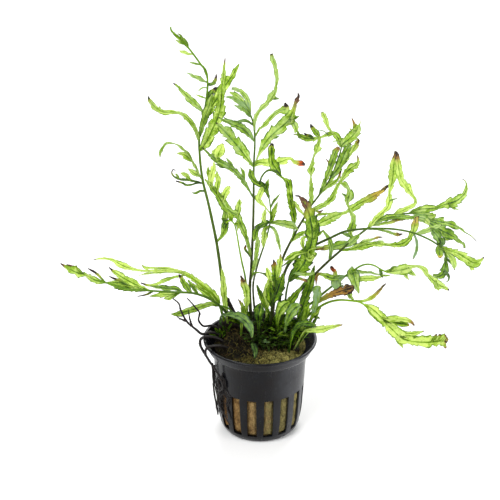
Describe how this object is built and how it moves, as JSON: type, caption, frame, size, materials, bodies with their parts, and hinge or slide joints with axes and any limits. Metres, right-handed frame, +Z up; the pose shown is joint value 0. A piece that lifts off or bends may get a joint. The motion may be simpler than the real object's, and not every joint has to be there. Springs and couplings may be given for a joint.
{
  "type": "potted african water fern",
  "caption": "Small water fern with long lobed fronds and narrow young leaves on a creeping rhizome, growing in rock wool in a round slotted nursery pot.",
  "frame": {"origin": "centre of the pot's flat foot, on the surface that it stands on", "axes": "+Z up along the pot's axis, +X to the right and +Y away from the viewer in the picture's view; the plant leans a little further to +X"},
  "size_m": [0.1745, 0.105, 0.1671],
  "materials": {
    "pot": "satin",
    "rock_wool": "matte",
    "rhizome": "matte",
    "frond": "satin",
    "small_leaf": "satin",
    "root": "satin"
  },
  "bodies": {
    "root": {"pot": "pot", "rock_wool": "rock_wool", "rhizome": "rhizome", "frond_tall_left": "frond", "frond_centre": "frond", "frond_bent": "frond", "frond_inner": "frond", "frond_right_centre": "frond", "frond_broad": "frond", "frond_right_long": "frond", "frond_right_front": "frond", "frond_right_arching": "frond", "frond_right_low": "frond", "frond_left_low": "frond", "frond_left_pale": "frond", "frond_left_strap": "frond", "frond_young_brown": "frond", "leaf_left_upright": "small_leaf", "leaf_brown_tip": "small_leaf", "leaf_small_pointed": "small_leaf", "leaf_over_front": "small_leaf", "leaf_rounded": "small_leaf", "leaf_yellow_broad": "small_leaf", "leaf_pale_broad": "small_leaf", "leaf_bright_inner": "small_leaf", "leaf_dark_upright": "small_leaf", "leaf_grey_right": "small_leaf", "leaf_brown_right": "small_leaf", "leaf_dark_right": "small_leaf", "leaf_yellow_right": "small_leaf", "root_upright": "root", "root_forked": "root", "root_down_wall": "root", "root_looping": "root"}
  },
  "joints": []
}
